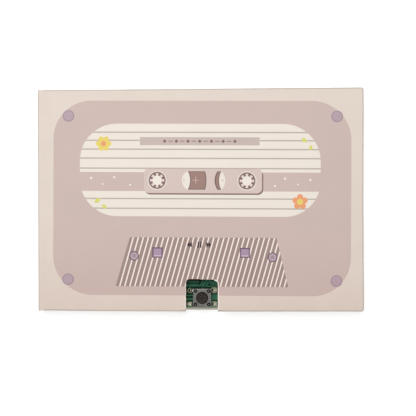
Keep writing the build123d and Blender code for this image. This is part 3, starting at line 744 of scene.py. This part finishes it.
# Window plate, its shade, and the reels, whose rounds are given by their radii
PLATE, PLATE_BEND = (-19.3, 1.65, 19.95, 9.95), 1.7
SHADE, SHADE_BEND = (-19.0, 1.15, 20.4, 9.25), 1.8
PLATE_LINE = (-17.7, 9.75, 18.35, 10.0)
REELS = [(-14.95, 5.9), (14.95, 5.8)]
HALO, RING_OUTER, RING_INNER, WELL, HUB = 3.15, 2.85, 2.4, 2.42, 1.46
TEETH, TOOTH = 8, [(-0.42, -2.45), (0.42, -2.45), (0.34, -1.64), (-0.34, -1.64)]

ink("plate_shade", [[rounded(*SHADE, SHADE_BEND)]], 4, "shade")
ink("plate", [[rounded(*PLATE, PLATE_BEND)]], 5, "plate")
ink("plate_line", [[box_loop(*PLATE_LINE)]], 6, "line")
ink("reel_halos", discs(REELS, HALO), 6, "cream")
ink("reel_rings", [ring(*place, RING_INNER, RING_OUTER) for place in REELS], 7, "dark")
ink("reel_wells", discs(REELS, WELL), 7, "pale")
ink("reel_hubs", discs(REELS, HUB), 9, "white")
teeth = [[moved(TOOTH, (i + 0.5) * 360 / TEETH, *place)] for place in REELS for i in range(TEETH)]
ink("reel_teeth", teeth, 8, "dark")

# The window between the reels; a span is the lower and the upper end of its upright lines.
WINDOW, BLOCK = (2.85, 8.95), (3.1, 8.75)


def bowed(x, bow, lower, upper):
    """Points up an upright line that bows to the right by this much at its middle."""
    steps = 12
    middle, half = (lower + upper) / 2, (upper - lower) / 2
    radius = (half * half + bow * bow) / (2 * abs(bow))
    line = []
    for i in range(steps + 1):
        y = -half + 2 * half * i / steps
        depth = math.sqrt(radius * radius - y * y) - (radius - abs(bow))
        line.append((x + math.copysign(depth, bow), middle + y))
    return line


def pane(left, right, span=WINDOW):
    """The shape between two bowed lines, each given by its place and its bow."""
    return [bowed(*right, *span) + bowed(*left, *span)[::-1]]


ink("lenses", [pane((-4.9, -1.85), (-4.75, 0.75)), pane((6.35, -0.75), (6.5, 1.25))], 6, "cream")
ink("block_edge", [pane((-4.7, 0.75), (1.05, 0.42)), pane((5.15, -0.95), (6.42, -0.75))], 7, "arc_edge")
ink("blocks", [pane((-4.4, 0.7), (0.8, 0.4), BLOCK), pane((5.45, -0.85), (6.12, -0.7), BLOCK)], 8, "block")
PLUS = [(-2.14, 4.85, -1.98, 7.2), (-3.1, 5.87, -2.18, 6.03), (-1.94, 5.87, -1.05, 6.03)]
ink("plus", [[box_loop(*bar)] for bar in PLUS], 9, "plate")
ink("window_marks", [[diamond(x, 5.95, 0.32, 0.4)] for x in (-6.0, 6.85)], 9, "plate")

# Grille of slanted bars; the last stripes stand a little closer.
GRILLE = [(-28.7, -29.45), (28.85, -29.45), (24.85, -13.1), (-24.0, -13.1)]
STRIPE_FIRST, STRIPE_PITCH, STRIPE_WIDTH, STRIPE_SLANT = -25.07, 1.68, 0.46, 0.276
STRIPE_FOOT, STRIPE_HEAD, STRIPE_LEVEL = -29.6, -13.0, -21.25
CLOSER_FROM, CLOSER_BY = 28, 0.13


def stripe(number):
    """One pale stripe between two bars, before it is clipped to the grille."""
    middle = STRIPE_FIRST + number * STRIPE_PITCH - CLOSER_BY * max(0, number - CLOSER_FROM)
    foot = middle + (STRIPE_FOOT - STRIPE_LEVEL) * STRIPE_SLANT
    head = middle + (STRIPE_HEAD - STRIPE_LEVEL) * STRIPE_SLANT
    half = STRIPE_WIDTH / 2
    return [(foot - half, STRIPE_FOOT), (foot + half, STRIPE_FOOT),
            (head + half, STRIPE_HEAD), (head - half, STRIPE_HEAD)]


punch(ink("grille", [[GRILLE]], 3, "bar"))
stripes = [clipped(stripe(number), GRILLE) for number in range(-4, 35)]
punch(ink("stripes", [[loop] for loop in stripes if loop], 4, "stripe"))

# Lilac squares, given with half their width, and lilac rounds
LILAC_SQUARES = [(-14.75, -18.15, 1.72), (14.4, -18.1, 1.65)]
LILAC_ROUNDS = [(-22.55, -19.3), (23.55, -19.55)]
LILAC_RIM, LILAC_CENTRE, LILAC_HEART, SQUARE_RIM = 1.6, 1.27, 0.62, 0.4
GLINTS = [(-16.02, -19.45, -13.43, -19.15), (13.2, -19.33, 15.65, -19.03)]


def squares(rim):
    """The lilac squares, smaller by a rim."""
    return [[centred_box(x, y, half - rim, half - rim)] for x, y, half in LILAC_SQUARES]


ink("lilac_rims", squares(0) + discs(LILAC_ROUNDS, LILAC_RIM), 5, "lilac_edge")
ink("lilac_fills", squares(SQUARE_RIM), 6, "lilac")
ink("lilac_centres", discs(LILAC_ROUNDS, LILAC_CENTRE), 6, "pale_lilac")
ink("lilac_glints", [[box_loop(*glint)] for glint in GLINTS], 7, "lilac_glint")
ink("lilac_hearts", discs(LILAC_ROUNDS, LILAC_HEART), 7, "dot_edge")

# Plain marks for back, pause and forward
MARK_LEVEL, ARROW_TAIL, ARROW_TIP, ARROW_HALF = -15.5, 0.44, 0.46, 1.0
PAUSE_BARS = [
    [(-1.5, -16.55), (-1.02, -16.55), (-0.82, -14.5), (-1.26, -14.5)],
    [(-0.56, -16.5), (-0.12, -16.5), (-0.06, -14.45), (-0.5, -14.45)],
]


def arrow(x, way):
    """Small triangle that points right where way is 1, and left where it is -1."""
    tail, y = x - way * ARROW_TAIL, MARK_LEVEL
    return [(tail, y - ARROW_HALF), (x + way * ARROW_TIP, y), (tail, y + ARROW_HALF)][::way]


marks = [arrow(-4.45, -1), arrow(-3.7, -1)] + PAUSE_BARS + [arrow(1.98, 1), arrow(2.75, 1)]
ink("marks", [[loop] for loop in marks], 5, "mark")

# Small plain motifs: two blossoms, lime leaves and white specks
WARM_BLOSSOM, GOLD_BLOSSOM, BLOSSOM_RADIUS = (32.6, -1.1), (-32.9, 18.1), 2.6
LEAVES = [(-34.9, -0.9, 2.6, 1.5, 40), (-32.6, -2.9, 2.2, 1.3, -30), (33.9, 19.4, 2.4, 1.4, 140),
          (36.1, 16.9, 2.0, 1.2, 70)]
SPECKS = [(-37.0, 6.6, 0.42), (-33.2, 4.6, 0.3), (-29.3, 6.9, 0.4), (-24.0, 4.4, 0.33),
          (24.3, 4.1, 0.36), (27.6, 6.6, 0.42), (31.9, 4.7, 0.28), (36.0, 6.2, 0.4)]


def blossom(place, petals, depth, start):
    """One outline with rounded petals, this deep, the first of them at an angle in degrees."""
    loop, steps = [], petals * 16
    for i in range(steps):
        angle = 2 * math.pi * i / steps
        reach = BLOSSOM_RADIUS - depth + depth * abs(math.cos(petals * angle / 2)) ** 0.7
        loop.append((reach * math.cos(angle), reach * math.sin(angle)))
    return [[moved(loop, start, *place)]]


def leaf(x, y, length, width, angle):
    """A pointed leaf, at an angle in degrees."""
    turns = [math.pi * i / 10 for i in range(11)]
    half = [(length / 2 * math.cos(a), width / 2 * math.sin(a) ** 3) for a in turns]
    other = [(px, -py) for px, py in half[1:-1]][::-1]
    return [moved(half + other, angle, x, y)]


ink("blossom_warm", blossom(WARM_BLOSSOM, petals=5, depth=0.95, start=90), 4, "orange")
ink("blossom_gold", blossom(GOLD_BLOSSOM, petals=6, depth=0.8, start=0), 4, "yellow")
ink("blossom_hearts", discs([WARM_BLOSSOM], 1.0), 5, "yellow")
ink("blossom_eyes", discs([GOLD_BLOSSOM], 0.9, 24), 5, "orange")
ink("leaves", [leaf(*place) for place in LEAVES], 4, "lime")
ink("specks", [[circle(*place, 16)] for place in SPECKS], 4, "white")

# Print on the inner panel
PANEL_TOP, PANEL_INK = 6.3, 0.02
FRAME_INSET, FRAME_BEND, FRAME_GAP, FRAME_WIDTH = 2.2, 3, 3.2, 0.3
# What each circle of dots and each ring goes round; a circle's radius, its number of dots and their radius;
# a ring's inner and outer radius
DOT_CIRCLES = [
    ("speaker_yoke", 14.6, 48, 0.34), ("speaker_yoke", 16.0, 48, 0.24), ("microphone_can", 3.0, 20, 0.2)]
RINGS = [("record_switch_plate", 4.0, 4.45), ("record_led", 1.7, 1.9)]
panel_red = paper("panel_red_ink", (188, 98, 90), grain=0.04, foot_shade=False)
panel_mauve = paper("panel_mauve_ink", (190, 164, 158), grain=0.03, foot_shade=False)


def print_panel():
    """A plain frame line, and rings and dots round the windows of the inner panel."""
    low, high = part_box("inner_panel")
    left, right = low.x / MM + FRAME_INSET, high.x / MM - FRAME_INSET
    lower, upper = low.y / MM + FRAME_INSET, high.y / MM - FRAME_INSET
    frame_line = [(NOTCH_RIGHT + FRAME_GAP, lower), *rounded(left, lower, right, upper, FRAME_BEND, 8),
                  (NOTCH_LEFT - FRAME_GAP, lower)]
    mauve_shapes = [[stroke(frame_line, FRAME_WIDTH)]]
    for node, radius, count, dot_radius in DOT_CIRCLES:
        mauve_shapes += discs(moved(circle(0, 0, radius, count), 0, *centre_of(node)), dot_radius, 16)
    red_shapes = [ring(*centre_of(node), inner, outer, 64) for node, inner, outer in RINGS]
    levels = (PANEL_TOP - PANEL_INK, PANEL_TOP + PANEL_INK)
    prisms("panel_frame_line", mauve_shapes, *levels, panel_mauve, "base", "panel_card")
    prisms("panel_rings", red_shapes, *levels, panel_red, "base", "panel_card")


print_panel()

# Creases

FOLD_OUT, FOLD_LIFT, FOLD_SHEET, FOLD_BEND = 0.03, 0.02, 0.14, 0.5
SPINE_REACH, LEAF_REACH, FOLD_FLAT, FOLD_SINK = 2.2, 2.0, 1.2, 0.012
FOLD_ROWS, FOLD_STEPS, FOLD_SETBACK = 37, 8, 0.05
BLEND_FROM = 0.9


def fold_line(x0, z0, way, depth):
    """Half of a crease strip's section, this deep under its outer face, from the spine round to the leaf."""
    centre_x, centre_z, bend = x0 + FOLD_BEND, z0 - way * FOLD_BEND, FOLD_BEND - depth
    line = [(x0 + depth, z0 - way * SPINE_REACH), (x0 + depth, z0 - way * FOLD_FLAT)]
    for i in range(FOLD_STEPS + 1):
        a = math.pi / 2 * i / FOLD_STEPS
        line.append((centre_x - bend * math.cos(a), centre_z + way * bend * math.sin(a)))
    line += [(x0 + FOLD_FLAT, z0 - way * depth), (x0 + LEAF_REACH, z0 - way * max(depth, FOLD_SINK))]
    return line


def crease_strip(name, corner_z, way):
    """Fold of the stock round one long edge of the spine; way is 1 at the front, -1 at the back."""
    x0, z0 = -CARD_HALF_WIDTH - FOLD_OUT, corner_z + way * FOLD_LIFT
    outer, inner = fold_line(x0, z0, way, 0), fold_line(x0, z0, way, FOLD_SHEET)
    section = outer + inner[::-1]
    size, last = len(section), FOLD_ROWS - 1
    foot, head = CORNERS[0][1], CORNERS[3][1]
    points, faces = [], []
    for row in range(FOLD_ROWS):
        y = foot + FOLD_SETBACK + (head - foot - 2 * FOLD_SETBACK) * row / last
        points += [(x, y, z) for x, z in section]
    for row in range(last):
        faces += walls([section], row * size, size)
    for a in (0, last * size):
        for i in range(len(outer) - 1):
            faces.append([a + i, a + i + 1, a + size - 2 - i, a + size - 1 - i])
    strip = build_mesh(name, points, faces, [looks["card_stock"]], None, smooth=True)
    start, end = (x0, z0 - way * BLEND_FROM), (x0 + BLEND_FROM, z0)
    if way < 0:
        start, end = end, start
    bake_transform(strip)


crease_strip("crease_front", CARD_TOP, 1)
crease_strip("crease_back", 0.0, -1)

# Board and switches

copper_mask = laminate("copper_mask", (70, 134, 104), weave=0.12)
# Each trace is a line and its width.
TRACES = [
    ([(-12, -27.6), (-0.75, -27.6)], 0.5),
    ([(-12, -28.42), (-0.95, -28.42)], 0.28),
    ([(-12, -28.9), (-0.45, -28.9), (0.1, -28.35), (0.62, -27.35), (1.5, -25.6)], 0.56),
    ([(0.3, -29.25), (0.55, -28.95), (1.85, -27.25), (3.1, -25.6)], 0.7),
    ([(1.25, -29.3), (1.5, -29.02), (2.8, -27.4), (4.2, -25.6)], 0.5),
    ([(1.5, -29.1), (8, -28.85)], 0.36),
    ([(2.95, -27.95), (8, -27.95)], 1.15),
    ([(-7, -32.2), (-2.4, -32.2)], 0.42),
    ([(-7, -33.38), (-2.4, -33.38)], 0.62),
    ([(3.45, -32.75), (7.2, -32.75)], 1.75),
    ([(-6.9, -36.0), (7.1, -36.0)], 0.25),
]
traces = [[stroke(points, width)] for points, width in TRACES]
prisms("board_traces", traces, BOARD_TOP - 0.02, BOARD_TOP + 0.03, copper_mask, "base", "board_laminate")

# Painted highlight: the lighter steel of the plates' top bevels.
bevel_highlight_steel = metal("bevel_highlight_steel", (152, 151, 149), roughness=0.36, wear=0.1)
# Painted glints: the lighter plastic of the post ends.
post_glint_plastic = plastic("post_glint_plastic", (112, 106, 100), roughness=0.5, grain=0.12)
SWITCH_HALF, PLATE_SHEET, PLUNGER_HOLE = 3.0, 0.3, 1.97
POST_REACH, POST_HOLE, POST_RISE = 2.25, 0.63, 0.2
TAB_HALF_WIDTH, TAB_HALF_SHEET = 0.8, 0.125
GLINT_CAP = [(0, -0.02), (0.22, -0.02), (0.22, 0.01), (0.17, 0.035), (0.08, 0.045), (0, 0.045)]


def dress_switch(name):
    """The plate with its bevels, tabs and staked posts. The lighter steel of its top bevel is a painted
    highlight, and the lighter plastic of the post ends is painted glints.
    """
    node = f"{name}_switch_plate"
    low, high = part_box(node)
    x, y = centre_of(node)
    top, steel = high.z / MM, looks["switch_steel"]
    under = top - PLATE_SHEET
    posts = [(x + i * POST_REACH, y + j * POST_REACH) for i in (-1, 1) for j in (-1, 1)]
    outline = rounded(x - SWITCH_HALF, y - SWITCH_HALF, x + SWITCH_HALF, y + SWITCH_HALF, 0.18, 4)
    holes = [circle(x, y, PLUNGER_HOLE)[::-1]] + [circle(*post, POST_HOLE, 28)[::-1] for post in posts]
    rows = [(0.05, under), (0, under + 0.05), (0, top - 0.07), (0.02, top - 0.02), (0.08, top)]
    # The top bevel rows take the lighter steel, a painted highlight.
    plate = sheet_form(
        f"{name}_switch_cover", [outline] + holes, rows, [steel, bevel_highlight_steel], "base",
        lambda row, px, py: int(row >= 2))
    left, right, reach = x - TAB_HALF_WIDTH, x + TAB_HALF_WIDTH, SWITCH_HALF - TAB_HALF_SHEET
    tabs = [[rounded(left, tab_y - TAB_HALF_SHEET, right, tab_y + TAB_HALF_SHEET, 0.06, 3)]
            for tab_y in (y - reach, y + reach)]
    prisms(f"{name}_switch_tabs", tabs, low.z / MM, under + 0.02, steel, "base", "switch_steel")
    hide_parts(node)
    points, faces = [], []
    # Light caps on the posts, which are painted glints
    for post in posts:
        lathe(points, faces, post, top + POST_RISE, GLINT_CAP, 20)
    build_mesh(
        f"{name}_switch_post_glints", points, faces, [post_glint_plastic], "base", smooth=True)


dress_switch("play")
dress_switch("record")


def snap_dome(name):
    """The thin sprung cap under a plunger, built at rest; the real cap gives way as the plunger is pressed.
    """
    node = f"{name}_switch_dome"
    low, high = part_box(node)
    place, floor = centre_of(node), low.z / MM
    rim, sheet, steps = (high.x - low.x) / 2 / MM, 0.1, 8
    rise = (high.z - low.z) / MM - sheet
    under = [(rim * i / steps, rise * (1 - (i / steps) ** 2)) for i in range(steps + 1)]
    over = [(radius, height + sheet) for radius, height in under][::-1]
    points, faces = [], []
    lathe(points, faces, place, floor, under + over, 40)
    cap = build_mesh(
        f"{name}_dome_cap", points, faces, [looks["spring_steel"]], "base", smooth=True)
    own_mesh(cap)
    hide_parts(node)


snap_dome("play")
snap_dome("record")


def islands(node):
    """The boxes of the separate bodies of a node, in millimetres, sorted."""
    shape = bmesh.new()
    shape.from_mesh(nodes[node].data)
    bmesh.ops.remove_doubles(shape, verts=shape.verts, dist=1e-6)
    waiting, boxes = set(shape.verts), []
    while waiting:
        stack = [waiting.pop()]
        reached = []
        while stack:
            vertex = stack.pop()
            reached.append(vertex.co / MM)
            for edge in vertex.link_edges:
                other = edge.other_vert(vertex)
                if other in waiting:
                    waiting.remove(other)
                    stack.append(other)
        boxes.append([bound(p[i] for p in reached) for bound in (min, max) for i in range(3)])
    shape.free()
    return sorted(boxes)


solder = metal("solder", (196, 196, 184), roughness=0.26, wear=0.1)
dull_tin = metal("dull_tin", (126, 131, 107), roughness=0.5, wear=0.25)
# Dark flux whose marks are partly painted shade: the ring round a pin and the clots over the leads' bends.
flux = plastic("flux", (34, 34, 24), roughness=0.4, grain=0.3)


def blob(x, y, half_x, half_y, seed, steps, roundness=1.0):
    """A soft, slightly uneven loop round a place; a roundness under 1 makes it squarer."""
    wobble = random.Random(seed)
    phase = [wobble.uniform(0, 6.3) for _ in range(3)]
    loop = []
    for i in range(steps):
        a = 2 * math.pi * i / steps
        reach = 1 + sum(0.035 * math.sin((k + 2) * a + p) for k, p in enumerate(phase))
        c, n = math.cos(a), math.sin(a)
        loop.append((x + half_x * reach * math.copysign(abs(c) ** roundness, c),
                     y + half_y * reach * math.copysign(abs(n) ** roundness, n)))
    return loop


FLAT_MOUND = [(0.97, 0.3), (0.88, 0.62), (0.66, 0.86), (0.35, 0.97), (0, 1.0)]
TALL_MOUND = [(0.92, 0.12), (0.72, 0.3), (0.55, 0.55), (0.46, 0.78), (0.3, 0.95), (0, 1.0)]
TALL_FROM, MOUND_ROOT = 0.8, 0.02
# At the play switch: the place and half widths of each mound, pad, ring and clot; all but the mounds then
# have a seed, and the pads a roundness.
PLAY_MOUNDS = [(-3.56, -30.5, 0.36, 0.36), (4.47, -30.52, 0.52, 0.42), (-3.5, -35.15, 0.4, 0.34),
               (4.5, -35.12, 0.42, 0.36)]
PLAY_PADS = [(-3.7, -30.53, 0.9, 0.88, 41, 1.0), (4.42, -30.4, 1.0, 0.96, 42, 0.42),
             (-3.82, -35.08, 0.9, 0.76, 43, 0.42), (4.46, -35.02, 0.98, 0.94, 44, 0.42)]
# The dark ring is part flux and part painted shade; the clots over the leads' bends are painted shade.
FLUX_SHADE_RING = (-3.58, -30.5, 0.64, 0.62, 45)
FLUX_SHADE_CLOTS = [(3.82, -30.42, 0.34, 0.42, 46), (-2.98, -35.0, 0.28, 0.46, 47), (3.8, -35.0, 0.32, 0.46, 48)]


def solder_profile(profile, height):
    root = [(0, -MOUND_ROOT), (1, -MOUND_ROOT)]
    return root + [(share, rise * height) for share, rise in profile]


def build_solder():
    """Solder on every joint: low mounds on the feet, tall ones on the speaker leads."""
    points, faces = [], []
    low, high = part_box("play_switch_terminals")
    for number, (x0, y0, z0, x1, y1, z1) in enumerate(islands("solder_joints")):
        x, y, rise = (x0 + x1) / 2, (y0 + y1) / 2, z1 - z0
        if low.x < x * MM < high.x and low.y < y * MM < high.y:
            # The play switch gets mounds of its own.
            continue
        share, roundness, profile = (0.4, 1.0, TALL_MOUND) if rise > TALL_FROM else (0.49, 0.6, FLAT_MOUND)
        loop = blob(x, y, (x1 - x0) * share, (y1 - y0) * share, 20 + number, 28, roundness)
        mound(points, faces, loop, (x, y), z0, solder_profile(profile, rise))
    for x, y, half_x, half_y in PLAY_MOUNDS:
        loop = blob(x, y, half_x, half_y, int(x * 100), 24)
        mound(points, faces, loop, (x, y), BOARD_TOP, solder_profile(FLAT_MOUND, 0.4))
    joints = build_mesh("solder_mounds", points, faces, [solder], "base", smooth=True)
    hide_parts("solder_joints")
    pads = [[blob(*pad, 36, roundness)] for *pad, roundness in PLAY_PADS]
    prisms("tinned_pads", pads, BOARD_TOP - 0.02, BOARD_TOP + 0.1, dull_tin, "base", "tinned_metal")
    # Painted shade: the dark ring and the clots, partly flux.
    shade_ring = [[blob(*FLUX_SHADE_RING, 30)]]
    prisms("flux_shade_ring", shade_ring, BOARD_TOP + 0.05, BOARD_TOP + 0.235, flux, "base", "tinned_metal")
    shade_clots = [[blob(*clot, 20)] for clot in FLUX_SHADE_CLOTS]
    prisms("flux_shade_clots", shade_clots, BOARD_TOP + 0.05, BOARD_TOP + 0.94, flux, "base", "tinned_metal")


build_solder()

# Stage, light and camera

# The floor and the lamp are placed in metres.
FLOOR_HALF, FLOOR_LEVEL, FLOOR_TONE, FLOOR_GLOW = 3, -0.00003, 0.78, 0.5
WORLD_LEVEL = 0.5
LAMP_PLACE, LAMP_SIZE, LAMP_POWER = (-0.07, 0.17, 0.45), 0.45, 1.33
CAMERA_PLACE, CAMERA_TURN, CAMERA_LENS = (16.53, 0.02, 427.05), (-0.374, 1.903, -0.145), 109.26


def direct_rays(tree):
    """1 for rays that come from the camera, at first hand or by gloss or glass, and 0 for the others."""
    rays = tree.add("ShaderNodeLightPath").outputs
    direct = tree.maths("MAXIMUM", rays["Is Camera Ray"], rays["Is Glossy Ray"])[0]
    return tree.maths("MAXIMUM", direct, rays["Is Transmission Ray"])[0]


def build_floor():
    """Plain pale floor that looks white where no shadow falls."""
    mesh = bpy.data.meshes.new("floor")
    corners = box_loop(-FLOOR_HALF, -FLOOR_HALF, FLOOR_HALF, FLOOR_HALF)
    mesh.from_pydata([(x, y, FLOOR_LEVEL) for x, y in corners], [], [(0, 1, 2, 3)])
    floor = add_object("floor", mesh)
    look = Look("floor_paper", 0.9, specular=0.0)
    look.shade({"Base Color": (FLOOR_TONE, FLOOR_TONE, FLOOR_TONE)})
    strength = look.maths("MULTIPLY", direct_rays(look), FLOOR_GLOW)[0]
    glow = look.add("ShaderNodeEmission", {"Strength": strength})
    both = look.add("ShaderNodeAddShader", {0: look.shader.outputs[0], 1: glow.outputs[0]})
    look.feed(look.tree.nodes["Material Output"], {"Surface": both.outputs[0]})
    mesh.materials.append(look.material)


def build_world():
    """Even light from all round, behind which the background shows white."""
    world = bpy.data.worlds.new("studio")
    bpy.context.scene.world = world
    world.use_nodes = True
    sky = Nodes(world.node_tree)
    level = sky.add("ShaderNodeMapRange", {"Value": direct_rays(sky), "To Min": WORLD_LEVEL, "To Max": 1.0})
    sky.feed(sky.tree.nodes["Background"], {"Color": (1, 1, 1), "Strength": level.outputs["Result"]})


def build_lamp():
    """One large soft lamp over the head of the card, aimed at its middle."""
    lamp = bpy.data.lights.new("key", "AREA")
    lamp.shape = "DISK"
    lamp.size = LAMP_SIZE
    lamp.energy = LAMP_POWER
    holder = add_object("key", lamp)
    holder.visible_camera = False
    holder.location = LAMP_PLACE
    holder.rotation_euler = (-Vector(LAMP_PLACE)).to_track_quat("-Z", "Y").to_euler()


build_floor()
build_world()
build_lamp()

camera_data = bpy.data.cameras.new("camera")
camera_data.sensor_width = 36
camera_data.lens = CAMERA_LENS
camera_data.clip_start = 0.01
camera = add_object("camera", camera_data)
camera.location = Vector(CAMERA_PLACE) * MM
camera.rotation_euler = [math.radians(a) for a in CAMERA_TURN]
bpy.context.scene.camera = camera
bpy.context.scene.view_settings.view_transform = "Standard"
